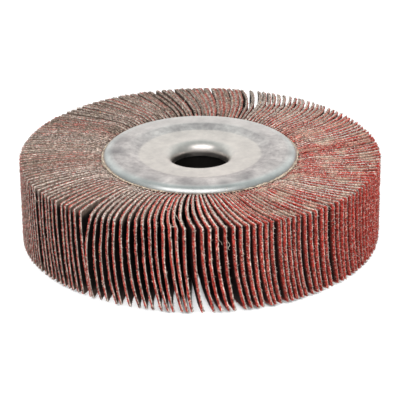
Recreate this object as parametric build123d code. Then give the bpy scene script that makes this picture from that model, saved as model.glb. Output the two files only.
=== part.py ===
from build123d import *
from math import asin, atan2, cos, floor, hypot, pi, sin
import os

# Abrasive flap wheel, in millimetres. Flaps of abrasive cloth stand on edge all round
# a cast resin core, and a pressed steel flange closes the core on each side. The
# wheel's axis is Z, and the origin is in the middle of its bore.

# Wheel
wheel_diameter = 165.0
bore_diameter = 25.4

# Flaps: the width and thickness of one, the gap between two at the core, and how
# far a flap's outer edge is swept sideways from the radius that its root stands on
flap_width = 40.0
flap_thickness = 1.2
flap_gap = 0.48
flap_sweep = 7.0

# Flanges, drawn from one sheet: a rim folded down into the pack, its edge still
# flared by some degrees, a flat land that bears on the pack, a step down to a
# shallow dish, a rounded lip and a collar in the bore
sheet = 1.2
flange_diameter = 88.8
fold_radius = 3.4
rim_flare = 22.0
land_width = 10.8
step_width = 5.4
step_depth = 1.6
dish_fall = 0.5
lip_radius = 5.0
collar_depth = 7.2

# Core: how far the resin stands outside the rim, and the play round each flange's
# rim, dish and collar
bead_width = 0.6
seat_play = 0.15

wheel_radius = wheel_diameter / 2
bore_radius = bore_diameter / 2
flange_radius = flange_diameter / 2
core_radius = flange_radius + bead_width
pack_side = flap_width / 2
fold_inside = fold_radius - sheet
flare_angle = rim_flare * pi / 180
fold_centre = flange_radius - fold_radius * cos(flare_angle)
rim_inside = fold_centre + fold_inside * cos(flare_angle)
rim_end = pack_side - fold_inside * (1 - sin(flare_angle))
land_inside = flange_radius - land_width
dish_radius = land_inside - step_width
dish_level = pack_side - step_depth
lip_level = dish_level - dish_fall
collar_outside = bore_radius + sheet
collar_end = pack_side - collar_depth
lip_inside = lip_radius - sheet
collar_room = collar_outside + seat_play
flap_count = floor(2 * pi * core_radius / (flap_thickness + flap_gap))


def swept_arc(centre, radius):
    """A flap's side in plan: the arc from straight below its centre out to the wheel's edge."""
    reach = hypot(*centre)
    along = (wheel_radius**2 - reach**2 - radius**2) / (2 * radius)
    turn = atan2(centre[1], centre[0]) + asin(along / reach)
    return CenterArc(centre, radius, -90, turn * 180 / pi)


def flap_outline():
    """One flap in plan, swept towards +Y, and the strip of core up to the next flap's root."""
    length = wheel_radius - core_radius
    bend = (length**2 + flap_sweep**2) / (2 * flap_sweep)
    centre = (core_radius, bend)
    near_side = swept_arc(centre, bend + flap_thickness / 2)
    far_side = swept_arc(centre, bend - flap_thickness / 2)
    outer_edge = Line(near_side @ 1, far_side @ 1)
    next_root = (near_side @ 0).rotate(Axis.Z, 360 / flap_count)
    core_strip = Line(far_side @ 0, next_root)
    return [near_side, outer_edge, far_side, core_strip]


def flange_face():
    """Half section of the upper flange in the XZ plane: the inner face's line, one sheet thick."""
    fold = CenterArc((fold_centre, pack_side - fold_inside), fold_inside, rim_flare, 90 - rim_flare)
    pressing = FilletPolyline(
        fold @ 1,
        (land_inside, pack_side),
        (dish_radius, dish_level),
        (collar_outside, lip_level),
        (collar_outside, collar_end),
        radius=(0, 0, lip_inside),
    )
    inner_line = Wire([fold, *pressing.edges()])
    return Plane.XZ * make_face(offset(inner_line, sheet, side=Side.RIGHT, kind=Kind.INTERSECTION))


def flange_room():
    """Half section of the room in the core for the upper flange's rim, dish and lip."""
    groove_slope = (pack_side - rim_end + seat_play) / (rim_inside - fold_centre)
    groove_width = flange_radius + seat_play - fold_centre
    groove = Polyline(
        (fold_centre, pack_side),
        (fold_centre + groove_width, pack_side - groove_slope * groove_width),
        (fold_centre + groove_width, pack_side),
        close=True,
    )
    lip_room = lip_level - seat_play
    dish = Polyline(
        (0, pack_side),
        (land_inside, pack_side),
        (dish_radius, dish_level - seat_play),
        (collar_room + lip_inside, lip_room),
        (collar_room, lip_room - lip_inside),
        (0, lip_room - lip_inside),
        close=True,
    )
    return Plane.XZ * (make_face(groove) + make_face(dish))


def make_flap_pack():
    """Core and flaps as the one bonded piece that they are, with room for both flanges."""
    turns = [Rot(0, 0, 360 / flap_count * i) for i in range(flap_count)]
    outline = [turn * edge for turn in turns for edge in flap_outline()]
    pack = Pos(0, 0, -pack_side) * extrude(make_face(outline), flap_width)
    upper_room = revolve(flange_room(), Axis.Z)
    core_bore = Cylinder(collar_room, flap_width)
    return pack - [upper_room, mirror(upper_room, Plane.XY), core_bore]


def make_flanges():
    """The upper flange, and the same pressing turned over for the lower side."""
    upper = revolve(flange_face(), Axis.Z)
    return upper, mirror(upper, Plane.XY)


flange_top, flange_bottom = make_flanges()
pieces = {
    "flap_pack": make_flap_pack(),
    "flange_top": flange_top,
    "flange_bottom": flange_bottom,
}
os.makedirs("parts", exist_ok=True)
for name, piece in pieces.items():
    export_step(piece, f"parts/{name}.step")
    print(name, round(piece.volume), "mm3")
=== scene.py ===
"""Looks of an abrasive flap wheel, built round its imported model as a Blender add-on."""

import math
import random
from functools import partial

import bmesh
import bpy
from bpy.props import FloatProperty, FloatVectorProperty, IntProperty, PointerProperty
from mathutils import Matrix, Vector


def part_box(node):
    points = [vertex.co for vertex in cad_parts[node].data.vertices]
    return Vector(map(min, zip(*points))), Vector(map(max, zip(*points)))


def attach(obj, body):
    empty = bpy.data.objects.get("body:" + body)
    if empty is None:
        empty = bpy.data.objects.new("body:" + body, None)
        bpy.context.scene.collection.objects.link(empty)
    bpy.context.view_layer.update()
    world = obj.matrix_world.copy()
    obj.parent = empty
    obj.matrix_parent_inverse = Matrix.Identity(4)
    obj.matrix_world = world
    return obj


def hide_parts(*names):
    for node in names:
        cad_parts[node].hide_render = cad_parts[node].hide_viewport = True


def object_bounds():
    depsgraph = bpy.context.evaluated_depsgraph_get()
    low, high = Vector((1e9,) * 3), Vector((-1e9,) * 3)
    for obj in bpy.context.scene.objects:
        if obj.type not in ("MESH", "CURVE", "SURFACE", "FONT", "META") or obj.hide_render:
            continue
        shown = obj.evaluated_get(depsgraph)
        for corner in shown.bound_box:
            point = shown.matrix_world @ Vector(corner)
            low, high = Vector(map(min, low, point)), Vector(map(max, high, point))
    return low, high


bl_info = {
    "name": "Flap wheel",
    "version": (1, 0, 0),
    "blender": (4, 5, 0),
    "location": "View3D > Sidebar > Flap wheel",
    "description": "Makes the flaps, core, flanges and stage of an abrasive flap wheel",
    "category": "Add Mesh",
}

MM = 0.001
PHOTO_WIDTH = 400

# The kinds of node that come up most, and the settings that make a mix one of two colours
MATH = "ShaderNodeMath"
MAP_RANGE = "ShaderNodeMapRange"
MIX = "ShaderNodeMix"
COLOUR_MIX = {"output": 2, "data_type": "RGBA"}

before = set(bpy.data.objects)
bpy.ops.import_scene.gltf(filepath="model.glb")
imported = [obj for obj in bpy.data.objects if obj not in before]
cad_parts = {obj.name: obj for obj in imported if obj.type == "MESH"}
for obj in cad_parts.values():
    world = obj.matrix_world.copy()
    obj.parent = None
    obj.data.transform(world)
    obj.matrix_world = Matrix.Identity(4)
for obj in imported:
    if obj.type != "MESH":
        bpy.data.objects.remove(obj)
cad_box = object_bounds()
pack_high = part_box("flap_pack")[1]
flange_low, flange_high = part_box("flange_top")


def linear(hex_colour):
    """The linear RGBA value of an sRGB hex colour."""
    channels = [int(hex_colour[i:i + 2], 16) / 255 for i in (0, 2, 4)]
    light = [c / 12.92 if c <= 0.04045 else ((c + 0.055) / 1.055) ** 2.4 for c in channels]
    return (*light, 1.0)


def size_property(name, description, default):
    return FloatProperty(name=name, description=description, default=default, unit="LENGTH", precision=5)


def angle_property(name, description, degrees):
    return FloatProperty(name=name, description=description, default=math.radians(degrees), subtype="ANGLE")


def colour_property(name, description, hex_colour):
    return FloatVectorProperty(
        name=name, description=description, default=linear(hex_colour), size=4, subtype="COLOR", min=0, max=1
    )


class FlapSizes(bpy.types.PropertyGroup):
    """Sizes of the flaps and of how unevenly they stand."""

    count: IntProperty(name="Flaps", description="Flaps round the core", default=168, min=3)
    tip_radius: size_property("Tip radius", "Radius of the wheel", pack_high[0])
    root_radius: size_property("Root radius", "Where a flap enters the core", 42.5 * MM)
    free_radius: size_property("Free radius", "Where a flap starts to bend", 46 * MM)
    rim_end: size_property("Rim end", "Just inside the rim, where the flaps are squeezed most", 44 * MM)
    sag_end: size_property("Sag end", "Where the flaps no longer sink", 53 * MM)
    squeeze_end: size_property("Squeeze end", "Where the cut edges are no longer squeezed", 60 * MM)
    crumbs_end: size_property("Crumbs end", "Where grains and fibres are no longer squeezed", 62 * MM)
    half_width: size_property("Half width", "Half the width of a flap", pack_high[2])
    thickness: size_property("Thickness", "Cloth and grain together", 1.2 * MM)
    worn: size_property("Worn", "How far the cut edges are worn round", 0.22 * MM)
    sag: size_property("Sag", "How far the flaps sink beside the flange's rim", 1.6 * MM)
    ragged: size_property("Ragged", "How far a cut edge strays", 0.6 * MM)
    waver: size_property("Waver", "How far a flap strays sideways", 0.9 * MM)
    wander: size_property("Wander", "How unevenly the tips are spaced", 0.2 * MM)
    crowding: angle_property("Crowding", "How far the roots crowd together in three places", 1.3)
    thread_radius: size_property("Thread radius", "Half the thickness of a stray thread", 0.07 * MM)
    crumbs: IntProperty(
        name="Crumbs", description="Grains, or fibres, on a square metre of cut edge", default=3100000
    )
    flecks: IntProperty(name="Flecks", description="Flecks of glue on a square metre", default=6000)
    seed: IntProperty(name="Seed", description="Seed of all that is random in the flaps", default=5)


class FlangeSizes(bpy.types.PropertyGroup):
    """Sizes of one pressed flange, outer face."""

    rim_radius: size_property("Rim radius", "Outer radius of the flange", flange_high[0])
    top: size_property("Top", "Height of the land above the wheel's middle", flange_high[2])
    rim_bottom: size_property("Rim bottom", "Height of the turned down rim's edge", 18.7 * MM)
    rim_round: size_property("Rim round", "Radius of the rim's fold", 3.3 * MM)
    rim_flare: angle_property("Rim flare", "How far the rim's edge is still flared", 18)
    land_inside: size_property("Land inside", "Inner radius of the flat land", 33.4 * MM)
    dish_radius: size_property("Dish radius", "Where the step meets the dish", 28.1 * MM)
    dish_level: size_property("Dish level", "Height of the dish at its edge", 19.6 * MM)
    lip_level: size_property("Lip level", "Height of the dish at the lip", 19.1 * MM)
    lip_radius: size_property("Lip radius", "Radius of the lip", 5 * MM)
    bore_radius: size_property("Bore radius", "Radius of the collar's bore", 12.7 * MM)
    collar_end: size_property("Collar end", "Height of the collar's end", flange_low[2])
    sheet: size_property("Sheet", "Thickness of the sheet", 1.2 * MM)
    play: size_property("Play", "Play round the collar in the core", 0.15 * MM)
    mottle: FloatProperty(name="Mottle", description="Picks the pattern of the mottling", default=2.6)


class Colours(bpy.types.PropertyGroup):
    """Colours of the finishes."""

    grain: colour_property("Grain", "Aluminium oxide in its red bond", "bd3b31")
    grain_dark: colour_property("Dark grain", "Bond in the shade between grains", "5e1813")
    grain_light: colour_property("Light grain", "Broken and bare grains", "e8c3b2")
    cloth: colour_property("Cloth", "Back of the cloth", "b09c8e")
    cloth_dark: colour_property("Dark cloth", "Hollows of the weave", "6f5b52")
    cut: colour_property("Cut cloth", "Cut edge of the cloth", "dccfc6")
    resin: colour_property("Resin", "Cast core", "0a0705")
    bead: colour_property("Bead", "Squeezed out resin, and heaps of lint", "c0b09c")
    dust: colour_property("Dust", "Grinding dust on the flaps that face away", "9b887a")
    dust_dark: colour_property("Dark dust", "Hollows in the dust", "5e4e46")
    thread: colour_property("Thread", "Stray cotton threads", "ece4d6")
    glue: colour_property("Glue", "Dried flecks of glue", "b98d55")
    zinc: colour_property("Zinc", "Dull zinc plating", "ddd6d3")
    zinc_clean: colour_property("Clean zinc", "Zinc in the dish", "e2dad4")
    # A cool tint painted on the land near the rim, as shade of the fold
    zinc_rim_shade: colour_property("Rim zinc", "Zinc near the rim, less handled", "d5dbd9")
    zinc_dirty: colour_property("Dirty zinc", "Zinc dulled by handling", "a09899")
    smudge: colour_property("Smudge", "Dark smudges on the zinc", "7c797b")
    floor: colour_property("Floor", "Paper floor", "8a8a8a")


class Stage(bpy.types.PropertyGroup):
    """Where the camera stands and what it sees."""

    distance: size_property("Distance", "Camera to the middle of the wheel", 0.909)
    elevation: angle_property("Elevation", "Camera above the wheel's plane", 23.9)
    roll: angle_property("Roll", "Tilt of the camera about its view", -0.61)
    focal_pixels: FloatProperty(name="Focal length", description="In pixels of the photograph", default=1965)
    centre_x: FloatProperty(name="Centre x", description="Pixel of the wheel's middle", default=200.4)
    centre_y: FloatProperty(name="Centre y", description="Pixel of the wheel's middle", default=191.9)


# The groups of properties, by the name that the scene keeps each under
GROUPS = {
    "flap_sizes": FlapSizes,
    "flange_sizes": FlangeSizes,
    "flap_wheel_colours": Colours,
    "flap_wheel_stage": Stage,
}


def add_node(tree, kind, inputs=(), operation=None, output=0, **settings):
    """Adds a node with its settings, sets or links its inputs by place or name, and gives one output."""
    node = tree.nodes.new(kind)
    if operation:
        node.operation = operation
    for name, value in settings.items():
        setattr(node, name, value)
    for key, value in inputs.items() if isinstance(inputs, dict) else enumerate(inputs):
        if isinstance(value, bpy.types.NodeSocket):
            tree.links.new(value, node.inputs[key])
        else:
            node.inputs[key].default_value = value
    return node.outputs[output] if node.outputs else node


def new_material(name):
    """An empty material of that name, and what adds nodes to it."""
    material = bpy.data.materials.new(name)
    material.use_nodes = True
    material.node_tree.nodes.clear()
    return material, partial(add_node, material.node_tree)


def end_material(material, add, look):
    """Ends a material: its surface is one shader with these inputs. Returns the material."""
    shader = add("ShaderNodeBsdfPrincipled", look)
    add("ShaderNodeOutputMaterial", (shader,))
    return material


def new_tree(name, **kinds):
    """An empty geometry tree with these inputs by kind, what adds nodes to it, and its inputs' sockets."""
    tree = bpy.data.node_groups.new(name, "GeometryNodeTree")
    tree.interface.new_socket(name="Geometry", in_out="INPUT", socket_type="NodeSocketGeometry")
    for kind, names in kinds.items():
        for each in names:
            tree.interface.new_socket(name=each, in_out="INPUT", socket_type=f"NodeSocket{kind}")
    tree.interface.new_socket(name="Geometry", in_out="OUTPUT", socket_type="NodeSocketGeometry")
    add = partial(add_node, tree)
    return tree, add, add("NodeGroupInput").node.outputs


def end_tree(add, geometry, material):
    """Ends a geometry tree: instances are made real, and all of it gets the material."""
    real = add("GeometryNodeRealizeInstances", (geometry,))
    dressed = add("GeometryNodeSetMaterial", {"Geometry": real, "Material": material})
    add("NodeGroupOutput", (dressed,))


def blotches(add, place, size, detail, *shows):
    """Blotches of one size in metres: a noise, of which one range is spread from 0 to 1, or as given."""
    noise = add("ShaderNodeTexNoise", {"Vector": place, "Scale": 1 / size, "Detail": detail})
    return add(MAP_RANGE, (noise, *shows))


def grit_colour(add, value, colours):
    """Red grit from dark bond to bare pale grain, by a value from 0 to 1."""
    colour = add("ShaderNodeValToRGB", (value,))
    stops = colour.node.color_ramp.elements
    stops[0].color = colours.grain_dark
    stops[1].color = colours.grain_light
    for place in (0.28, 0.8):
        stops.new(place).color = colours.grain
    return colour


def dusted(add, colour, colours, sizes):
    """A colour under patchy dust, by each flap's own share and less on the tips, which the work wipes."""
    own, heaped = (add("ShaderNodeAttribute", output="Fac", attribute_name=name) for name in ("dust", "heap"))
    on_flap = add("ShaderNodeAttribute", output="Vector", attribute_name="on_flap")
    outward = add("ShaderNodeSeparateXYZ", (on_flap,))
    tip = sizes.tip_radius
    wiped = add(MAP_RANGE, (outward, tip - 1.5 * MM, tip - 0.2 * MM, 1.0, 0.35))
    off_tip = add(MAP_RANGE, (outward, tip - 3 * MM, tip - 0.5 * MM, 1.0, 0.0))
    place = add("ShaderNodeTexCoord", output="Object")
    patch = blotches(add, place, 3 * MM, 3.0, 0.35, 0.65, 0.4, 1.0)
    heaps = blotches(add, place, 9 * MM, 4.0, 0.45, 0.62)
    lumps = blotches(add, place, 0.8 * MM, 2.0, 0.38, 0.62)
    for factor in (heaped, off_tip):
        heaps = add(MATH, (heaps, factor), "MULTIPLY")
    share = add(MATH, (own, patch), "MULTIPLY")
    share = add(MATH, (share, wiped), "MULTIPLY", use_clamp=True)
    dust = add(MIX, {0: lumps, 6: colours.dust_dark, 7: colours.dust}, **COLOUR_MIX)
    dusty = add(MIX, {0: share, 6: colour, 7: dust}, **COLOUR_MIX)
    return add(MIX, {0: heaps, 6: dusty, 7: colours.bead}, **COLOUR_MIX)


def coated_cloth(colours, sizes):
    """Coated abrasive: red aluminium oxide on one face, filled cotton on the other, pale where cut.

    The grit is P40, about half a millimetre, and reads as red sand with pale specks. The real weave
    of 0.4 mm is too fine to show, so it is drawn as bands 5 mm apart, broken up by lint of 0.9 mm.
    Deep between the flaps both faces are painted dark, as the shade of the flaps beside them: in from
    the tips the cloth's face is the darker, and in from the sides the grain's.
    """
    material, add = new_material("Coated abrasive cloth")
    place = add("ShaderNodeTexCoord", output="Object")
    layer, cut, tone = (
        add("ShaderNodeAttribute", output="Fac", attribute_name=name) for name in ("layer", "cut", "tone")
    )
    on_flap = add("ShaderNodeAttribute", output="Vector", attribute_name="on_flap")

    grit = add("ShaderNodeTexVoronoi", {"Vector": place, "Scale": 1 / (0.55 * MM)}).node.outputs
    grit_value = add("ShaderNodeSeparateColor", (grit["Color"],))
    patches = blotches(add, place, 6 * MM, 3.0, 0.3, 0.7, 0.4, 1.0)
    grain = add(MIX, {0: patches, 6: colours.grain, 7: grit_colour(add, grit_value, colours)}, **COLOUR_MIX)

    # A wave texture has its bands 2 pi / 20 of a unit apart, so that a unit of 16 mm gives 5 mm
    warp, weft = (
        add(
            "ShaderNodeTexWave", {"Vector": on_flap, "Scale": 1 / (16 * MM), "Distortion": 1.5},
            output="Fac", bands_direction=axis,
        )
        for axis in ("X", "Z")
    )
    lint = add("ShaderNodeTexNoise", {"Vector": place, "Scale": 1 / (0.9 * MM), "Detail": 4.0})
    weave = add(MATH, (warp, weft), "MAXIMUM")
    weave = add(MATH, (weave, lint), "MULTIPLY")
    woven = add(MAP_RANGE, (weave, 0.2, 0.6))
    woven = add(MIX, {0: woven, 6: colours.cloth_dark, 7: colours.cloth}, **COLOUR_MIX)
    frayed = add(MAP_RANGE, (lint, 0.35, 0.6))
    frayed = add(MIX, {0: frayed, 6: colours.cloth, 7: colours.cut}, **COLOUR_MIX)
    backing = add(MIX, {0: cut, 6: woven, 7: frayed}, **COLOUR_MIX)

    ragged = add("ShaderNodeTexNoise", {"Vector": place, "Scale": 1 / (1.3 * MM), "Detail": 2.0})
    border = add(MATH, (ragged, 0.6, layer), "MULTIPLY_ADD")
    is_cloth = add(MAP_RANGE, (border, 0.94, 1.04))
    layered = add(MIX, {0: is_cloth, 6: grain, 7: backing}, **COLOUR_MIX)

    # How near the cut edges a point is, which stands for how much light reaches it: the faces are painted
    # darker as shade the farther in they lie
    x, _, z = add("ShaderNodeSeparateXYZ", (on_flap,)).node.outputs
    from_tip = add(MATH, (sizes.tip_radius, x), "SUBTRACT")
    shaded = add(MAP_RANGE, (is_cloth, 0.0, 1.0, 1.4, 5.0))
    from_tip = add(MATH, (from_tip, shaded), "MULTIPLY")
    aside = add(MATH, (z,), "ABSOLUTE")
    from_side = add(MATH, (sizes.half_width, aside), "SUBTRACT")
    open_side = add(MAP_RANGE, (is_cloth, 0.0, 1.0, 1.2, 0.5))
    from_side = add(MATH, (from_side, open_side), "MULTIPLY")
    from_edge = add(MATH, (from_tip, from_side), "MINIMUM")
    shallow = add(MAP_RANGE, (from_edge, 0.0, 3.2 * MM, 1.0, 0.0))
    painted_gap_shade = add(MATH, (shallow, 2.6), "POWER")
    painted_gap_shade = add(MATH, (painted_gap_shade, 0.02), "MAXIMUM")
    rough_cut = blotches(add, place, 1.1 * MM, 2.0, 0.36, 0.64, 0.2, 1.2)
    # Painted shade on the faces, and only the rough pattern on the cut edges
    lit = add(MIX, {0: cut, 2: painted_gap_shade, 3: rough_cut}, data_type="FLOAT")
    value = add(MATH, (tone, lit), "MULTIPLY")
    dusty = dusted(add, layered, colours, sizes)
    toned = add("ShaderNodeHueSaturation", {"Value": value, "Color": dusty})
    height = add(MIX, {0: is_cloth, 2: grit["Distance"], 3: weave}, data_type="FLOAT")
    bump = add("ShaderNodeBump", {"Height": height, "Strength": 0.6, "Distance": 0.25 * MM})
    look = {"Base Color": toned, "Roughness": 0.85, "Specular IOR Level": 0.25, "Normal": bump}
    return end_material(material, add, look)


def loose_grain(colours, sizes):
    """Grit standing out of the cut edges: sharp red aluminium oxide, some of it broken and pale."""
    material, add = new_material("Aluminium oxide grain")
    shade = add("ShaderNodeAttribute", output="Fac", attribute_name="shade")
    base = dusted(add, grit_colour(add, shade, colours), colours, sizes)
    return end_material(material, add, {"Base Color": base, "Roughness": 0.55})


def cotton_lint(colours, sizes):
    """Cotton pulled out of the cloth: soft, pale and fuzzy, with some of it brown with dust."""
    material, add = new_material("Cotton lint")
    shade = add("ShaderNodeAttribute", output="Fac", attribute_name="shade")
    pale = add(MAP_RANGE, (shade, 0.2, 0.9))
    clean = add(MIX, {0: pale, 6: colours.cloth_dark, 7: colours.cut}, **COLOUR_MIX)
    base = dusted(add, clean, colours, sizes)
    return end_material(material, add, {"Base Color": base, "Roughness": 0.95, "Sheen Weight": 0.3})


def stray_thread(colours):
    """Cotton thread pulled out of the cloth: off white, dull, a little brown in places."""
    material, add = new_material("Cotton thread")
    place = add("ShaderNodeTexCoord", output="Object")
    soil = blotches(add, place, 2 * MM, 3.0, 0.35, 0.65)
    base = add(MIX, {0: soil, 6: colours.thread, 7: colours.cloth}, **COLOUR_MIX)
    return end_material(material, add, {"Base Color": base, "Roughness": 0.9, "Sheen Weight": 0.3})


def glue_fleck(colours):
    """Dried glue: amber, with a dull gloss, in small hard flecks."""
    material, add = new_material("Dried glue")
    shade = add("ShaderNodeAttribute", output="Fac", attribute_name="shade")
    base = add(MIX, {0: shade, 6: colours.glue, 7: colours.bead}, **COLOUR_MIX)
    return end_material(material, add, {"Base Color": base, "Roughness": 0.45})


# The sizes that the flaps' tree takes, each from the property of the same name
FLAP_INPUTS = ("Tip Radius", "Root Radius", "Free Radius", "Rim End", "Sag End", "Squeeze End", "Half Width",
               "Thickness", "Worn", "Sag", "Ragged", "Waver")


def flap_tree():
    """Geometry tree that stands a thin slab on every point, bends it and cuts it ragged."""
    tree, add, given = new_tree("Flaps on a core", Float=FLAP_INPUTS, Material=("Material",))
    own = {
        name: add("GeometryNodeInputNamedAttribute", {"Name": name}, output="Attribute")
        for name in ("turn", "sweep", "slack", "lean", "bow", "stiffness", "fuzz", "burr")
    }
    length = add(MATH, (given["Tip Radius"], given["Root Radius"]), "SUBTRACT")
    middle = add(MATH, (length, 0.5, given["Root Radius"]), "MULTIPLY_ADD")
    width = add(MATH, (given["Half Width"], 2.0), "MULTIPLY")
    size = add("ShaderNodeCombineXYZ", (length, given["Thickness"], width))
    slab = add("GeometryNodeMeshCube", {"Size": size, "Vertices X": 13, "Vertices Y": 3, "Vertices Z": 18})
    offset = add("ShaderNodeCombineXYZ", (middle,))
    placed = add("GeometryNodeTransform", {"Geometry": slab, "Translation": offset})
    spot = add("GeometryNodeInputPosition")
    x, y, z = add("ShaderNodeSeparateXYZ", (spot,)).node.outputs
    facing = add("GeometryNodeInputNormal")
    outwards, sideways = add("ShaderNodeSeparateXYZ", (facing,)).node.outputs[:2]
    sideways = add(MATH, (sideways,), "ABSOLUTE")
    is_edge = add(MATH, (sideways, 0.5), "LESS_THAN")
    not_root = add(MATH, (outwards, -0.5), "GREATER_THAN")
    is_cut = add(MATH, (is_edge, not_root), "MULTIPLY")
    blank = placed
    for name, value, kind, domain in (
        ("on_flap", spot, "FLOAT_VECTOR", "POINT"), ("cut", is_cut, "FLOAT", "FACE"),
    ):
        blank = add(
            "GeometryNodeStoreNamedAttribute", {"Geometry": blank, "Name": name, "Value": value},
            data_type=kind, domain=domain,
        )
    stood = add("GeometryNodeInstanceOnPoints", {"Points": given["Geometry"], "Instance": blank})
    flaps = add("GeometryNodeRealizeInstances", (stood,))

    # How far across the flap from grain to cloth, counted as more cloth on the side cuts, which fray
    share = add(MATH, (y, given["Thickness"]), "DIVIDE")
    across = add(MATH, (share, 0.5), "ADD")
    height = add(MATH, (z,), "ABSOLUTE")
    near_side = add(MATH, (height, given["Half Width"], 0.2 * MM), "COMPARE")
    near_tip = add(MATH, (x, given["Tip Radius"], 0.2 * MM), "COMPARE")
    side_fray = add(MATH, (near_side, 0.2, across), "MULTIPLY_ADD")
    layer = add(MATH, (near_side, own["fuzz"], side_fray), "MULTIPLY_ADD")
    layered = add(
        "GeometryNodeStoreNamedAttribute", {"Geometry": flaps, "Name": "layer", "Value": layer},
        data_type="FLOAT", domain="POINT",
    )

    # How far each point of a flap is pushed aside
    out = add(MAP_RANGE, (x, given["Free Radius"], given["Tip Radius"]))
    bottom = add(MATH, (given["Half Width"], -1.0), "MULTIPLY")
    down = add(MAP_RANGE, (z, given["Half Width"], bottom))
    down_square = add(MATH, (down, down), "MULTIPLY")
    belly = add(MATH, (down, down_square), "SUBTRACT")
    foot = add(MATH, (down, 2.5), "POWER")
    bend = add(MATH, (out, own["stiffness"]), "POWER")
    aside = add(MATH, (own["slack"], foot, own["sweep"]), "MULTIPLY_ADD")
    aside = add(MATH, (own["bow"], belly, aside), "MULTIPLY_ADD")

    # Each flap strays and frays in its own way, picked by its turn
    own_seed = add(MATH, (own["turn"], 40.0), "MULTIPLY")
    stray = add(
        "ShaderNodeTexNoise", {"Vector": spot, "W": own_seed, "Scale": 1 / (6 * MM), "Detail": 3.0},
        noise_dimensions="4D",
    )
    stray = add(MATH, (stray, 0.5), "SUBTRACT")
    for factor in (given["Waver"], out):
        stray = add(MATH, (stray, factor), "MULTIPLY")
    aside = add(MATH, (aside, bend, stray), "MULTIPLY_ADD")
    reach = add(MATH, (given["Tip Radius"], 2.0), "MULTIPLY")
    shorter = add(MATH, (aside, aside), "MULTIPLY")
    shorter = add(MATH, (shorter, reach), "DIVIDE")

    # How far its cut edges are frayed, worn round, sunk beside the flange's rim, and spread
    fray = add(
        "ShaderNodeTexNoise", {"Vector": spot, "W": own_seed, "Scale": 1 / (2.2 * MM), "Detail": 3.0},
        output="Color", noise_dimensions="4D",
    )
    frays = add("ShaderNodeSeparateXYZ", (fray,)).node.outputs[:2]
    rounding = add(MATH, (share,), "ABSOLUTE")
    for factor in (-2.0, given["Worn"]):
        rounding = add(MATH, (rounding, factor), "MULTIPLY")
    fray_tip, fray_side = (
        add(MATH, (add(MATH, (part, 0.6), "SUBTRACT"), given["Ragged"], rounding), "MULTIPLY_ADD")
        for part in frays
    )
    beside_rim = add(
        MAP_RANGE, (x, given["Rim End"], given["Sag End"], given["Sag"], 0.0),
        interpolation_type="SMOOTHSTEP",
    )
    side_way = add(MATH, (z,), "SIGN")
    side_way = add(MATH, (side_way, near_side), "MULTIPLY")
    fray_side = add(MATH, (fray_side, beside_rim), "SUBTRACT")
    upward = add(MATH, (fray_side, side_way, z), "MULTIPLY_ADD")
    outward = add(MATH, (x, shorter), "SUBTRACT")
    outward = add(MATH, (near_tip, fray_tip, outward), "MULTIPLY_ADD")
    spread = add(MATH, (near_side, own["burr"], 1.0), "MULTIPLY_ADD")
    squeezed = add(MAP_RANGE, (x, given["Rim End"], given["Squeeze End"], 0.8, spread))
    sideward = add(MATH, (y, squeezed, aside), "MULTIPLY_ADD")

    # All of that put together and turned to the flap's bearing, with only the cut edges left sharp
    bent = add("ShaderNodeCombineXYZ", (outward, sideward, upward))
    turn = add(MATH, (own["lean"], foot, own["turn"]), "MULTIPLY_ADD")
    turned = add("ShaderNodeVectorRotate", {"Vector": bent, "Angle": turn}, rotation_type="Z_AXIS")
    shaped = add("GeometryNodeSetPosition", {"Geometry": layered, "Position": turned})
    smooth = add("GeometryNodeSetShadeSmooth", {"Geometry": shaped}, domain="FACE")
    angle = add("GeometryNodeInputMeshEdgeAngle")
    soft_edge = add("FunctionNodeCompare", (angle, 0.7), "LESS_THAN")
    edged = add("GeometryNodeSetShadeSmooth", {"Geometry": smooth, "Shade Smooth": soft_edge}, domain="EDGE")
    end_tree(add, edged, given["Material"])
    return tree


# The numbers that the crumbs' tree takes: how many on a square metre, the layers from 0, grain, to 1, cloth,
# that carry them, the sizes of one, how far the longest is drawn out, how upright they stand, and the squeeze
CRUMB_INPUTS = ("Density", "From", "To", "Radius", "Length", "Longest", "Upright", "Rim End", "Crumbs End")


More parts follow.
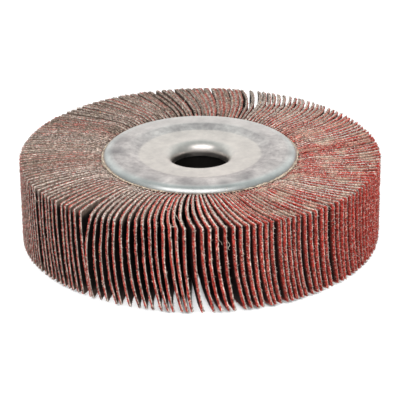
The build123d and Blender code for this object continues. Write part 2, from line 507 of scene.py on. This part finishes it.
def crumb_tree():
    """Geometry tree that strews pointed crumbs, or fibres, over part of the cut edges."""
    tree, add, given = new_tree(
        "Crumbs on an edge", Float=CRUMB_INPUTS, Int=("Seed",), Material=("Material",)
    )
    cut, layer, on_flap = (
        add("GeometryNodeInputNamedAttribute", {"Name": name}, output="Attribute", data_type=kind)
        for name, kind in (("cut", "FLOAT"), ("layer", "FLOAT"), ("on_flap", "FLOAT_VECTOR"))
    )
    strewn = add(
        "GeometryNodeDistributePointsOnFaces",
        {"Mesh": given["Geometry"], "Selection": cut, "Density": given["Density"], "Seed": given["Seed"]},
    ).node.outputs
    too_low = add("FunctionNodeCompare", (layer, given["From"]), "LESS_THAN")
    too_high = add("FunctionNodeCompare", (layer, given["To"]), "GREATER_THAN")
    outside = add("FunctionNodeBooleanMath", (too_low, too_high), "OR")
    kept = add("GeometryNodeDeleteGeometry", {"Geometry": strewn["Points"], "Selection": outside})
    upright = add("ShaderNodeVectorMath", {0: strewn["Normal"], 3: given["Upright"]}, "SCALE")
    stray = add(
        "FunctionNodeRandomValue", {0: (-1, -1, -1), 1: (1, 1, 1), "Seed": given["Seed"]},
        data_type="FLOAT_VECTOR",
    )
    way = add("ShaderNodeVectorMath", (upright, stray), "ADD")
    turned = add("FunctionNodeAlignRotationToVector", {"Vector": way}, axis="Z")
    size, luck, shade = (
        add("FunctionNodeRandomValue", {2: low, 3: high, "Seed": seed}, output=1, data_type="FLOAT")
        for low, high, seed in ((0.5, 1.5, given["Seed"]), (0.0, 1.0, 9), (0.0, 1.0, 5))
    )
    outward = add("ShaderNodeSeparateXYZ", (on_flap,))
    squeezed = add(MAP_RANGE, (outward, given["Rim End"], given["Crumbs End"], 0.6, 1.0))
    size = add(MATH, (size, squeezed), "MULTIPLY")

    # A few are lucky, and are drawn out long
    luck = add(MATH, (luck, 8.0), "POWER")
    stretch = add(MAP_RANGE, (luck, 0.0, 1.0, size, given["Longest"]))
    scale = add("ShaderNodeCombineXYZ", (size, size, stretch))
    crumb = add(
        "GeometryNodeMeshCone",
        {"Vertices": 3, "Radius Top": 0.0, "Radius Bottom": given["Radius"], "Depth": given["Length"]},
        fill_type="NGON",
    )
    stood = add(
        "GeometryNodeInstanceOnPoints",
        {"Points": kept, "Instance": crumb, "Rotation": turned, "Scale": scale},
    )
    shaded = add(
        "GeometryNodeStoreNamedAttribute", {"Geometry": stood, "Name": "shade", "Value": shade},
        data_type="FLOAT", domain="INSTANCE",
    )
    end_tree(add, shaded, given["Material"])
    return tree


def thread_tree():
    """Geometry tree that runs a thin round thread along every chain of edges."""
    tree, add, given = new_tree("Threads", Float=("Radius",), Material=("Material",))
    path = add("GeometryNodeMeshToCurve", (given["Geometry"],))
    eased = add("GeometryNodeCurveSplineType", (path,), spline_type="CATMULL_ROM")
    even = add("GeometryNodeResampleCurve", {"Curve": eased, "Count": 16})
    section = add("GeometryNodeCurvePrimitiveCircle", {"Resolution": 4, "Radius": given["Radius"]})
    thread = add("GeometryNodeCurveToMesh", {"Curve": even, "Profile Curve": section, "Fill Caps": True})
    end_tree(add, thread, given["Material"])
    return tree


def grown(name, host_mesh, tree, values):
    """Runs a geometry tree on a mesh, and returns its result as a plain mesh object."""
    host = bpy.data.objects.new(name, host_mesh)
    bpy.context.scene.collection.objects.link(host)
    modifier = host.modifiers.new(name, "NODES")
    modifier.node_group = tree
    for item in tree.interface.items_tree:
        if item.in_out == "INPUT" and item.name in values:
            modifier[item.identifier] = values[item.name]
    depsgraph = bpy.context.evaluated_depsgraph_get()
    result = bpy.data.meshes.new_from_object(
        host.evaluated_get(depsgraph), preserve_all_data_layers=True, depsgraph=depsgraph
    )
    host.modifiers.remove(modifier)
    host.data = result
    result.name = name
    return host


# By bearing in degrees: how far a flap's tip is swept, how late it bends, how many degrees its lower end
# is turned on, how much less that end is swept, how far its middle bows, and its dust
TIP_SWEEPS = ((0, 11), (45, 10.5), (65, 10.5), (82, 8.5), (100, 8), (120, 9.5), (135, 11.5), (155, 9),
              (180, 6.5), (205, 6), (227, 5), (230, 6.8), (245, 6), (262, 5.4), (265, 6.2), (278, 8.2),
              (289, 7.6), (296, 6.7), (303, 7.0), (311, 7.4), (330, 9), (360, 11))
BENDS = ((0, 2.0), (40, 2.8), (60, 2.7), (66, 1.9), (100, 1.5), (135, 1.6), (170, 1.8), (200, 2.4),
         (262, 2.8), (270, 1.7), (280, 1.6), (288, 2.1), (300, 1.7), (360, 2.0))
LEANS = ((0, 2.9), (229.3, 2.8), (229.5, -0.6), (237, 1.4), (246, 3.0), (262.2, 3.6), (262.4, 4.2),
         (275, 3.6), (285, 3.3), (360, 2.9))
SLACKS = ((0, 0), (252, 0), (259, -1.2), (262.2, -2.6), (262.4, -1.8), (268, -1.0), (276, 0), (360, 0))
BOWS = ((0, 0), (229.3, 0), (229.5, -15), (235, -9), (242, -3), (252, 0), (360, 0))
DUST = ((0, 0.2), (50, 0.4), (75, 0.85), (100, 1.0), (130, 1.0), (185, 0.85), (215, 0.5), (240, 0.2),
        (265, 0.05), (300, 0.12), (360, 0.2))

# How thickly lint and dust are heaped on the flaps, by bearing
HEAPS = ((0, 0.65), (40, 0.25), (70, 0.1), (100, 0.05), (200, 0.1), (275, 0.15), (300, 0.65), (360, 0.65))

# How far the cut edges on the wheel's sides are spread past the flap's thickness, by bearing
BURRS = ((0, 0.35), (45, 0.6), (75, 1.2), (110, 1.3), (135, 0.9), (185, 0.25), (210, 0.0),
         (300, 0.05), (330, 0.25), (360, 0.35))

# Where the flaps stand apart: the bearing at the root, and how far each side is pushed at root and tip,
# in degrees
OPENINGS = ((262.3, 0.45, 0.35), (229.4, 0.1, 0.7), (217.8, 0.0, 0.5), (203.5, 0.1, 0.35), (99.3, 0.5, 0.6),
            (94.0, 0.3, 0.1), (134.8, 0.3, 0.35), (66.5, 0.0, 0.6), (63.5, 0.0, 0.4), (56.5, 0.0, 0.25),
            (50.5, 0.0, 0.2), (183.0, 0.1, 0.3), (338.0, 0.1, 0.35), (0.3, 0.45, 0.5), (302.0, 0.1, 0.2),
            (308.0, 0.2, 0.3), (288.0, 0.1, 0.3))

# In how many degrees an opening's push dies down, and how strongly and how far it stops the spread of edges
OPENING_REACH = 5.0
OPENING_HOLD = 2.2
HOLD_REACH = 3.0

# One of the three bearings where roots are widest apart, and the share of a drift that the next flap keeps
WIDEST_BEARING = 232.0
DRIFT_KEPT = 0.7

# Stray threads, each through points of bearing in degrees, radius and height in millimetres
THREADS = (
    ((250.2, 58.5, 20.4), (251.4, 58.9, 21.0), (252.6, 58.4, 21.0), (253.9, 59.2, 20.3)),
    ((250.6, 55.0, 20.3), (251.3, 56.6, 20.9), (252.3, 57.0, 20.2)),
    ((256.6, 68.8, 20.2), (257.6, 65.6, 21.1), (259.4, 66.4, 21.2), (261.2, 71.0, 20.8), (263.2, 76.3, 20.3)),
    ((256.5, 67.9, 20.2), (257.2, 69.6, 20.9), (256.8, 66.9, 21.1), (258.4, 67.9, 20.4)),
    ((260.9, 81.6, 20.1), (261.9, 83.0, 20.5), (262.6, 81.9, 20.9)),
    ((267.2, 54.6, 20.3), (267.8, 56.2, 20.9), (268.7, 55.7, 20.4)),
    ((274.6, 82.0, 17.0), (275.2, 83.1, 14.6), (275.9, 83.1, 13.2), (276.2, 82.2, 11.6)),
    ((277.7, 82.3, 13.4), (278.4, 83.2, 11.9), (277.9, 83.3, 10.4), (278.5, 82.6, 9.2)),
    ((284.6, 45.9, 18.9), (284.9, 45.3, 20.3), (285.2, 44.9, 21.4)),
    ((95.0, 68.0, 20.2), (96.3, 63.4, 21.4), (98.2, 57.0, 20.8), (98.8, 54.2, 20.2)),
    ((97.0, 57.0, 20.3), (98.3, 62.2, 21.2), (99.8, 68.6, 20.2)),
    ((110.4, 60.8, 20.3), (111.4, 63.2, 21.0), (112.6, 62.4, 20.3)),
    ((208.8, 80.0, 20.2), (207.6, 82.8, 19.0), (209.6, 83.3, 15.6), (208.9, 82.2, 13.4)),
    ((221.0, 66.0, 20.3), (222.2, 68.4, 21.0), (223.9, 68.2, 20.3)),
    ((312.0, 80.0, 20.3), (311.2, 82.9, 20.6), (312.8, 83.0, 18.4)),
    ((31.0, 60.0, 20.3), (33.5, 62.0, 21.0), (35.5, 60.8, 20.3)),
)


def between(pairs, at):
    """The value at a place between listed pairs of place and value, eased from one to the next."""
    for (low, low_value), (high, high_value) in zip(pairs, pairs[1:]):
        if low <= at <= high:
            share = (1 - math.cos(math.pi * (at - low) / (high - low))) / 2
            return low_value + (high_value - low_value) * share
    return pairs[-1][1]


def degrees_from(bearing, at):
    """How many degrees one bearing is past another, the shorter way round."""
    return (at - bearing + 180) % 360 - 180


def opened(at, place):
    """How far the openings push a flap at that bearing, in degrees, at its root (0) or its tip (1)."""
    push = 0.0
    for opening in OPENINGS:
        away = degrees_from(opening[0], at)
        push += math.copysign(opening[1 + place] * math.exp(-abs(away) / OPENING_REACH), away)
    return push


def clear_of_openings(at):
    """From 0 beside a wide opening to 1 away from all of them."""
    gaps = [
        max(opening[1:]) * OPENING_HOLD * math.exp(-abs(degrees_from(opening[0], at)) / HOLD_REACH)
        for opening in OPENINGS
    ]
    return max(0.0, 1 - max(gaps))


def flap_points(sizes):
    """A mesh of one point for each flap, with how that flap stands as attributes.

    The flaps at the back stand less evenly than those in front, and are a little darker.
    """
    rng = random.Random(sizes.seed)
    rows = []
    drift = 0.0
    fuzz = 0.0
    for i in range(sizes.count):
        even = math.radians(360 * (i + 0.5) / sizes.count)
        back = math.sin(even)
        crowd = math.sin(3 * (even - math.radians(WIDEST_BEARING)))
        bearing = math.degrees(even + sizes.crowding * crowd)
        root = opened(bearing, 0)
        drift = DRIFT_KEPT * drift + rng.gauss(0, 1) * sizes.wander * (1.4 + 0.6 * back)
        fuzz = DRIFT_KEPT * fuzz + rng.gauss(0, 0.1)
        tip_push = math.radians(opened(bearing, 1) - root) * sizes.tip_radius
        rows.append({
            "turn": math.radians(bearing + root + rng.uniform(-0.1, 0.1)),
            "sweep": between(TIP_SWEEPS, bearing) * MM + drift + tip_push,
            "slack": between(SLACKS, bearing) * MM,
            "lean": math.radians(between(LEANS, bearing) + rng.gauss(0, 0.25)),
            "bow": (between(BOWS, bearing) + rng.gauss(0, 0.8)) * MM,
            "stiffness": between(BENDS, bearing) + rng.uniform(-0.15, 0.15) * (1.4 + 0.4 * back),
            "tone": rng.uniform(0.82, 1.15) * (1 - 0.16 * max(0.0, back) ** 2),
            "dust": max(0.0, between(DUST, bearing) + rng.gauss(0, 0.1)),
            "heap": between(HEAPS, bearing),
            "fuzz": fuzz + 0.1 * between(HEAPS, bearing),
            "burr": max(0.0, between(BURRS, bearing) * clear_of_openings(bearing) + rng.gauss(0, 0.1)),
        })
    mesh = bpy.data.meshes.new("Flap roots")
    mesh.from_pydata([(0, 0, 0)] * sizes.count, [], [])
    for name in rows[0]:
        column = mesh.attributes.new(name, "FLOAT", "POINT")
        column.data.foreach_set("value", [row[name] for row in rows])
    return mesh


def thread_paths():
    """A mesh of one chain of edges for each stray thread."""
    points = []
    links = []
    for thread in THREADS:
        for place, (bearing, radius, height) in enumerate(thread):
            turn = math.radians(bearing)
            if place:
                links.append((len(points) - 1, len(points)))
            points.append((radius * math.cos(turn) * MM, radius * math.sin(turn) * MM, height * MM))
    mesh = bpy.data.meshes.new("Thread paths")
    mesh.from_pydata(points, links, [])
    return mesh


def closed_lathe(name, outline, steps, material):
    """A ring turned about Z from a closed outline of (radius, height) points."""
    mesh = bmesh.new()
    rings = []
    for i in range(steps):
        turn = 2 * math.pi * i / steps
        rings.append([mesh.verts.new((r * math.cos(turn), r * math.sin(turn), z)) for r, z in outline])
    count = len(outline)
    for i in range(steps):
        here, there = rings[i], rings[(i + 1) % steps]
        for j in range(count):
            k = (j + 1) % count
            mesh.faces.new((here[j], there[j], there[k], here[k]))
    bmesh.ops.recalc_face_normals(mesh, faces=mesh.faces)
    for face in mesh.faces:
        face.smooth = True
    sharp = math.radians(40)
    for edge in mesh.edges:
        edge.smooth = edge.calc_face_angle(0) < sharp
    data = bpy.data.meshes.new(name)
    mesh.to_mesh(data)
    mesh.free()
    data.materials.append(material)
    piece = bpy.data.objects.new(name, data)
    bpy.context.scene.collection.objects.link(piece)
    return piece


def arc(centre, radius, start, end, steps):
    """Points on an arc in half section, angles in degrees."""
    angles = [math.radians(start + (end - start) * i / steps) for i in range(steps + 1)]
    return [(centre[0] + radius * math.cos(a), centre[1] + radius * math.sin(a)) for a in angles]


def flange_outline(s):
    """Half section of the upper flange with its pressed bends rounded."""
    inner_lip = s.bore_radius + s.lip_radius
    flare = math.degrees(s.rim_flare)
    fold = (s.rim_radius - s.rim_round * math.cos(s.rim_flare), s.top - s.rim_round)
    outline = [(s.rim_radius - s.sheet, s.rim_bottom), (s.rim_radius, s.rim_bottom)]
    outline += arc(fold, s.rim_round, flare, 90, 12)
    land_bend = ((0.8, 0), (0.3, -0.04), (-0.3, -0.14))
    dish_bend = ((0.5, 0.16), (0, 0.03), (-0.6, -0.03))
    outline += [(s.land_inside + out * MM, s.top + up * MM) for out, up in land_bend]
    outline += [(s.dish_radius + out * MM, s.dish_level + up * MM) for out, up in dish_bend]
    outline += arc((inner_lip, s.lip_level - s.lip_radius), s.lip_radius, 88, 180, 14)
    outline += [(s.bore_radius, s.collar_end), (s.bore_radius + s.sheet, s.collar_end)]
    outline += arc((inner_lip, s.lip_level - s.lip_radius), s.lip_radius - s.sheet, 180, 90, 8)
    outline += [(s.dish_radius, s.dish_level - s.sheet), (s.land_inside, s.top - s.sheet)]
    outline += arc(fold, s.rim_round - s.sheet, 90, flare, 6)
    return outline


# Dark smudges on the upper land: bearing in degrees, radius and width in millimetres, strength
SMUDGES = ((285.8, 39.7, 6.0, 0.8), (181.0, 37.7, 8.0, 0.6), (303.0, 37.5, 7.0, 0.6), (236.0, 38.5, 8.0, 0.5),
           (352.0, 41.0, 6.0, 0.5), (262.0, 38.0, 9.0, 0.5), (218.0, 40.0, 7.0, 0.4),
           (330.0, 36.5, 7.0, 0.35), (160.0, 39.5, 6.0, 0.35))


def zinc_steel(colours, sizes):
    """Pressed steel sheet, dull zinc plated: near white, soft gloss, mottled grey where it was handled.

    The dish is cleaner and the lip has more gloss. The grey mottle is painted weaker towards the back of the
    land, as its sheen, and full on the step all round, as its shade, so the step is the greyest.
    """
    material, add = new_material("Zinc plated pressed steel")
    place = add("ShaderNodeTexCoord", output="Object")
    x, y = add("ShaderNodeSeparateXYZ", (place,)).node.outputs[:2]
    flat = add("ShaderNodeCombineXYZ", (x, y))
    radius = add("ShaderNodeVectorMath", (flat,), "LENGTH", output="Value")
    blend = 0.8 * MM
    in_dish = add(MAP_RANGE, (radius, sizes.dish_radius + blend, sizes.dish_radius - blend))
    rings = add("ShaderNodeCombineXYZ", (radius,))
    cloud, mottle, scratches = (
        add(
            "ShaderNodeTexNoise",
            {"Vector": where, "W": sizes.mottle, "Scale": 1 / (grain * MM), "Detail": 5.0, "Roughness": 0.6},
            noise_dimensions="4D",
        )
        for where, grain in ((place, 9), (place, 2.2), (rings, 0.8))
    )
    dirt = 0.0
    for pattern, weight in ((cloud, 0.45), (mottle, 0.45), (scratches, 0.12)):
        dirt = add(MATH, (pattern, weight, dirt), "MULTIPLY_ADD")
    greyed = add(MAP_RANGE, (dirt, 0.38, 0.64))
    # Painted sheen and shade: the mottle fades towards the back of the land and stays strong on the step
    painted_light_mask = add(MAP_RANGE, (y, 8 * MM, 30 * MM, 1.0, 0.35))
    step_shade = add(MAP_RANGE, (radius, sizes.land_inside - blend, sizes.land_inside + blend, 0.9, 0.0))
    painted_light_mask = add(MATH, (painted_light_mask, step_shade), "MAXIMUM")
    dirt_and_painted_light = add(MATH, (greyed, painted_light_mask), "MULTIPLY", use_clamp=True)
    land = add(MIX, {0: dirt_and_painted_light, 6: colours.zinc, 7: colours.zinc_dirty}, **COLOUR_MIX)
    faint = add(MATH, (greyed, 0.35), "MULTIPLY")
    dish = add(MIX, {0: faint, 6: colours.zinc_clean, 7: colours.zinc_dirty}, **COLOUR_MIX)
    rim = sizes.rim_radius
    # Painted shade: a cool tint on the land near the rim
    rim_shade = add(MAP_RANGE, (radius, rim - 5 * MM, rim - 2 * MM, 0.0, 0.5))
    land = add(MIX, {0: rim_shade, 6: land, 7: colours.zinc_rim_shade}, **COLOUR_MIX)
    base = add(MIX, {0: in_dish, 6: land, 7: dish}, **COLOUR_MIX)
    for bearing, out, width, strength in SMUDGES:
        turn = math.radians(bearing)
        middle = (out * math.cos(turn) * MM, out * math.sin(turn) * MM, sizes.top)
        away = add("ShaderNodeVectorMath", (place, middle), "DISTANCE", output="Value")
        away = add(MATH, (mottle, 0.9 * width * MM, away), "MULTIPLY_ADD")
        share = add(MAP_RANGE, (away, 0.3 * width * MM, 1.3 * width * MM, strength, 0.0))
        base = add(MIX, {0: share, 6: base, 7: colours.smudge}, **COLOUR_MIX)
    rough = add(MAP_RANGE, (cloud, 0.3, 0.7, 0.34, 0.5))
    worn = add(MAP_RANGE, (radius, sizes.bore_radius, sizes.bore_radius + 6 * MM, 0.82, 1.0))
    rough = add(MATH, (rough, worn), "MULTIPLY")
    bump = add("ShaderNodeBump", {"Height": mottle, "Strength": 0.2, "Distance": 0.04 * MM})
    look = {"Base Color": base, "Metallic": 1.0, "Roughness": rough, "Normal": bump}
    return end_material(material, add, look)


def cast_resin(colours):
    """Cast epoxy core: near black brown, dull, with faint streaks from the mould."""
    material, add = new_material("Cast epoxy resin")
    place = add("ShaderNodeTexCoord", output="Object")
    stretch = add("ShaderNodeMapping", {"Vector": place, "Scale": (1.0, 1.0, 0.12)})
    streak = add("ShaderNodeTexNoise", {"Vector": stretch, "Scale": 1 / (2 * MM), "Detail": 4.0})
    tint = add(MAP_RANGE, (streak, 0.0, 1.0, 0.5, 1.4))
    shade = add("ShaderNodeHueSaturation", {"Value": tint, "Color": colours.resin})
    bump = add("ShaderNodeBump", {"Height": streak, "Strength": 0.4, "Distance": 0.2 * MM})
    look = {"Base Color": shade, "Roughness": 0.7, "Specular IOR Level": 0.2, "Normal": bump}
    return end_material(material, add, look)


def squeezed_resin(colours):
    """Resin squeezed out under the rim, cream coloured, crusted with lint and grains."""
    material, add = new_material("Squeezed out resin")
    place = add("ShaderNodeTexCoord", output="Object")
    crust = add("ShaderNodeTexNoise", {"Vector": place, "Scale": 1 / (0.8 * MM), "Detail": 4.0})
    share = add(MAP_RANGE, (crust, 0.35, 0.6))
    base = add(MIX, {0: share, 6: colours.cloth_dark, 7: colours.bead}, **COLOUR_MIX)
    bump = add("ShaderNodeBump", {"Height": crust, "Strength": 0.8, "Distance": 0.3 * MM})
    return end_material(material, add, {"Base Color": base, "Roughness": 0.75, "Normal": bump})


class FLAPWHEEL_OT_flaps(bpy.types.Operator):
    """Make the flaps of abrasive cloth"""

    bl_idname = "flap_wheel.flaps"
    bl_label = "Flaps"

    def execute(self, context):
        sizes = context.scene.flap_sizes
        values = {name: getattr(sizes, name.lower().replace(" ", "_")) for name in FLAP_INPUTS}
        values["Material"] = coated_cloth(context.scene.flap_wheel_colours, sizes)
        flaps = grown("flaps", flap_points(sizes), flap_tree(), values)
        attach(flaps, "root")
        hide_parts("flap_pack")
        return {"FINISHED"}


class FLAPWHEEL_OT_crumbs(bpy.types.Operator):
    """Strew grit, lint and flecks of glue along the cut edges of the flaps"""

    bl_idname = "flap_wheel.crumbs"
    bl_label = "Grit, lint and flecks"

    def execute(self, context):
        sizes = context.scene.flap_sizes
        colours = context.scene.flap_wheel_colours
        flaps = bpy.data.objects["flaps"].data
        tree = crumb_tree()
        crumbs, flecks = float(sizes.crumbs), float(sizes.flecks)
        grain, cotton, glue = loose_grain(colours, sizes), cotton_lint(colours, sizes), glue_fleck(colours)
        kinds = (
            ("grit", "abrasive_cloth", grain, (crumbs, -1.0, 0.7, 0.24 * MM, 0.4 * MM, 1.4, 0.3)),
            ("lint", "abrasive_cloth", cotton, (crumbs, 0.64, 2.0, 0.12 * MM, 0.7 * MM, 2.0, 0.7)),
            ("flecks", "cast_resin", glue, (flecks, -1.0, 2.0, 0.4 * MM, 0.5 * MM, 1.2, 0.4)),
        )
        for seed, (name, slot, material, numbers) in enumerate(kinds, 1):
            values = dict(zip(CRUMB_INPUTS, (*numbers, sizes.rim_end, sizes.crumbs_end)))
            values |= {"Seed": seed, "Material": material}
            piece = grown(name, flaps.copy(), tree, values)
            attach(piece, "root")
        return {"FINISHED"}


class FLAPWHEEL_OT_threads(bpy.types.Operator):
    """Make the stray threads that cross the openings between flaps"""

    bl_idname = "flap_wheel.threads"
    bl_label = "Stray threads"

    def execute(self, context):
        sizes = context.scene.flap_sizes
        values = {"Radius": sizes.thread_radius, "Material": stray_thread(context.scene.flap_wheel_colours)}
        threads = grown("threads", thread_paths(), thread_tree(), values)
        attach(threads, "root")
        return {"FINISHED"}


class FLAPWHEEL_OT_core(bpy.types.Operator):
    """Make the cast resin core that holds the flaps"""

    bl_idname = "flap_wheel.core"
    bl_label = "Core"

    def execute(self, context):
        flaps = context.scene.flap_sizes
        flange = context.scene.flange_sizes
        under_dish = 0.6 * MM
        past_lip = 0.8 * MM
        past_collar = 0.7 * MM
        bore = flange.bore_radius + flange.sheet + flange.play
        side = flange.dish_level - flange.sheet - under_dish
        under_lip = flange.bore_radius + flange.lip_radius + past_lip
        neck = flange.collar_end + past_collar
        upper = [(bore, neck), (under_lip, side), (flaps.root_radius, side)]
        upper += [(flaps.root_radius + 0.5 * MM, side - 1 * MM)]
        outline = upper + [(r, -z) for r, z in reversed(upper)]
        steps = 192
        core = closed_lathe("core", outline, steps, cast_resin(context.scene.flap_wheel_colours))
        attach(core, "root")
        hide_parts("flap_pack")
        return {"FINISHED"}


class FLAPWHEEL_OT_beads(bpy.types.Operator):
    """Make the beads of resin squeezed out round the rims of the flanges"""

    bl_idname = "flap_wheel.beads"
    bl_label = "Resin beads"

    def execute(self, context):
        flange = context.scene.flange_sizes
        material = squeezed_resin(context.scene.flap_wheel_colours)
        radius = 0.6 * MM
        past_rim = 0.25 * MM
        steps = 512
        sides = 10
        for name, side in (("bead_top", 1), ("bead_bottom", -1)):
            centre = (flange.rim_radius + past_rim, side * flange.rim_bottom)
            bead = closed_lathe(name, arc(centre, radius, 0, 324, sides - 1), steps, material)

            # Lumpy, and thicker at the wheel's left and right than at its front and back
            rng = random.Random(side)
            lump = 0.0
            swell = []
            for i in range(steps):
                lump = 0.8 * lump + rng.gauss(0, 0.16)
                swell.append(max(0.1, 0.15 + 0.7 * abs(math.cos(2 * math.pi * i / steps)) + lump))
            for i, vertex in enumerate(bead.data.vertices):
                turn = 2 * math.pi * (i // sides) / steps
                middle = Vector((centre[0] * math.cos(turn), centre[0] * math.sin(turn), centre[1]))
                vertex.co = middle + (vertex.co - middle) * swell[i // sides] * rng.uniform(0.7, 1.2)
            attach(bead, "root")
        return {"FINISHED"}


class FLAPWHEEL_OT_flanges(bpy.types.Operator):
    """Make the two pressed steel flanges"""

    bl_idname = "flap_wheel.flanges"
    bl_label = "Flanges"

    def execute(self, context):
        sizes = context.scene.flange_sizes
        material = zinc_steel(context.scene.flap_wheel_colours, sizes)
        outline = flange_outline(sizes)
        steps = 256
        for node, side in (("flange_top", 1), ("flange_bottom", -1)):
            turned = [(r, z * side) for r, z in outline]
            flange = closed_lathe(f"{node}_pressing", turned, steps, material)
            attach(flange, "root")
            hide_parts(node)
        return {"FINISHED"}


class FLAPWHEEL_OT_stage(bpy.types.Operator):
    """Set the floor, lamps, world and camera"""

    bl_idname = "flap_wheel.stage"
    bl_label = "Stage"

    def execute(self, context):
        scene = context.scene
        set_floor(scene)
        set_world(scene)
        set_lamps(scene)
        set_camera(scene, scene.flap_wheel_stage)
        scene.view_settings.view_transform = "Standard"
        return {"FINISHED"}


def set_floor(scene):
    """A wide pale floor that shows white to the camera and keeps the wheel's shadow."""
    data = bpy.data.meshes.new("floor")
    reach = 30.0
    level = cad_box[0][2]
    corners = [(-reach, -reach, level), (reach, -reach, level), (reach, reach, level), (-reach, reach, level)]
    data.from_pydata(corners, [], [(0, 1, 2, 3)])
    material, add = new_material("White seamless paper")
    paper = add("ShaderNodeBsdfDiffuse", {"Color": scene.flap_wheel_colours.floor})
    rays = add("ShaderNodeLightPath").node.outputs
    seen = rays["Is Camera Ray"]
    for other in ("Is Glossy Ray", "Is Transmission Ray"):
        seen = add(MATH, (seen, rays[other]), "MAXIMUM")

    # The paper stops glowing where the wheel's foot shuts off the sky, so that its shadow shows
    open_sky = add("ShaderNodeAmbientOcclusion", {"Distance": 4 * MM}, output="AO")
    glow = add(MAP_RANGE, (open_sky, 0.25, 0.5, 0.0, 0.87))
    glow = add(MATH, (seen, glow), "MULTIPLY")
    lit = add("ShaderNodeEmission", {"Strength": glow})
    both = add("ShaderNodeAddShader", (paper, lit))
    add("ShaderNodeOutputMaterial", (both,))
    data.materials.append(material)
    floor = bpy.data.objects.new("floor", data)
    scene.collection.objects.link(floor)


def set_world(scene):
    """A soft dome, the same to every ray: white at the horizon, dim in front, and cool above and beside."""
    world = bpy.data.worlds.new("Studio")
    world.use_nodes = True
    world.node_tree.nodes.clear()
    add = partial(add_node, world.node_tree)
    direction = add("ShaderNodeTexCoord", output="Object")
    x, y, z = add("ShaderNodeSeparateXYZ", (direction,)).node.outputs
    horizon = add(MAP_RANGE, (z, 0.04, 0.12, 1.0, 0.0))
    height = add(MAP_RANGE, (z, 0.5, 1.0, 1.0, 0.5))
    low = add(MAP_RANGE, (z, 0.25, 0.5, 0.92, 1.12))
    behind = add(MAP_RANGE, (y, -0.3, 0.5, 0.65, 1.1))
    aside = add(MATH, (x,), "ABSOLUTE")
    beside = add(MAP_RANGE, (aside, 0.5, 0.9, 1.0, 0.5))
    dome = height
    for factor in (low, behind, beside):
        dome = add(MATH, (dome, factor), "MULTIPLY")
    strength = add(MIX, {0: horizon, 2: dome, 3: 1.0}, data_type="FLOAT")
    high = add(MAP_RANGE, (z, 0.3, 0.9))
    cool = add(MATH, (high, aside), "MAXIMUM")
    warm = (1.0, 0.97, 0.95, 1.0)
    cold = (0.88, 1.0, 1.0, 1.0)
    white = (1.0, 1.0, 1.0, 1.0)
    tint = add(MIX, {0: cool, 6: warm, 7: cold}, **COLOUR_MIX)
    tint = add(MIX, {0: horizon, 6: tint, 7: white}, **COLOUR_MIX)
    sky = add("ShaderNodeBackground", {"Color": tint, "Strength": strength})
    add("ShaderNodeOutputWorld", {"Surface": sky})
    scene.world = world


# Place, width and height in metres, power in watts, and whether gloss shows it
LAMPS = (
    ("left softbox", (-0.58, -0.52, 0.62), 0.4, 0.4, 2.9, False),
    ("right softbox", (0.6, -0.52, 0.62), 0.4, 0.4, 5.3, False),
    ("overhead panel", (0.0, 0.1, 1.1), 0.8, 0.8, 3.0, False),
    ("front panel", (0.0, -1.2, 0.2), 0.7, 0.7, 2.5, False),
    ("front softbox", (-0.14, -0.66, 0.8), 1.1, 0.7, 5.8, True),
)


def set_lamps(scene):
    """Softboxes left, right and in front, and panels above and low in front."""
    for name, place, width, height, power, shows in LAMPS:
        lamp = bpy.data.lights.new(name, "AREA")
        lamp.shape = "RECTANGLE"
        lamp.size = width
        lamp.size_y = height
        lamp.energy = power
        holder = bpy.data.objects.new(name, lamp)
        holder.location = place
        holder.rotation_euler = (-Vector(place)).to_track_quat("-Z", "Y").to_euler()
        holder.visible_glossy = shows
        scene.collection.objects.link(holder)


def set_camera(scene, stage):
    """The camera of the photograph: a long lens, looking down on the wheel from the front."""
    data = bpy.data.cameras.new("camera")
    data.lens = stage.focal_pixels / PHOTO_WIDTH * data.sensor_width
    camera = bpy.data.objects.new("camera", data)
    back = Vector((0, -math.cos(stage.elevation), math.sin(stage.elevation)))
    level = Vector((1, 0, 0))
    above = back.cross(level)
    right = level * math.cos(stage.roll) + above * math.sin(stage.roll)
    up = above * math.cos(stage.roll) - level * math.sin(stage.roll)
    aside = (PHOTO_WIDTH / 2 - stage.centre_x) / stage.focal_pixels
    below = (stage.centre_y - PHOTO_WIDTH / 2) / stage.focal_pixels
    place = back * stage.distance
    aim = (-back + right * aside + up * below).normalized()
    right = aim.cross(up).normalized()
    up = right.cross(aim)
    camera.matrix_world = Matrix.Translation(place) @ Matrix((right, up, -aim)).transposed().to_4x4()
    scene.collection.objects.link(camera)
    scene.camera = camera


class FLAPWHEEL_PT_panel(bpy.types.Panel):
    """Lists the steps that make the wheel, and its sizes and colours"""

    bl_label = "Flap wheel"
    bl_idname = "FLAPWHEEL_PT_panel"
    bl_space_type = "VIEW_3D"
    bl_region_type = "UI"
    bl_category = "Flap wheel"

    def draw(self, context):
        for step in STEPS:
            self.layout.operator(step.bl_idname)
        for group in GROUPS:
            values = getattr(context.scene, group)
            for name in values.bl_rna.properties.keys():
                if name not in {"rna_type", "name"}:
                    self.layout.prop(values, name)


STEPS = (FLAPWHEEL_OT_flaps, FLAPWHEEL_OT_crumbs, FLAPWHEEL_OT_threads, FLAPWHEEL_OT_core, FLAPWHEEL_OT_beads,
         FLAPWHEEL_OT_flanges, FLAPWHEEL_OT_stage)
CLASSES = (*GROUPS.values(), *STEPS, FLAPWHEEL_PT_panel)


def register():
    for each in CLASSES:
        bpy.utils.register_class(each)
    for name, group in GROUPS.items():
        setattr(bpy.types.Scene, name, PointerProperty(type=group))


def unregister():
    for name in GROUPS:
        delattr(bpy.types.Scene, name)
    for each in reversed(CLASSES):
        bpy.utils.unregister_class(each)


def main():
    register()
    bpy.ops.flap_wheel.flaps()
    bpy.ops.flap_wheel.crumbs()
    bpy.ops.flap_wheel.threads()
    bpy.ops.flap_wheel.core()
    bpy.ops.flap_wheel.beads()
    bpy.ops.flap_wheel.flanges()
    bpy.ops.flap_wheel.stage()


if __name__ == "__main__":
    main()
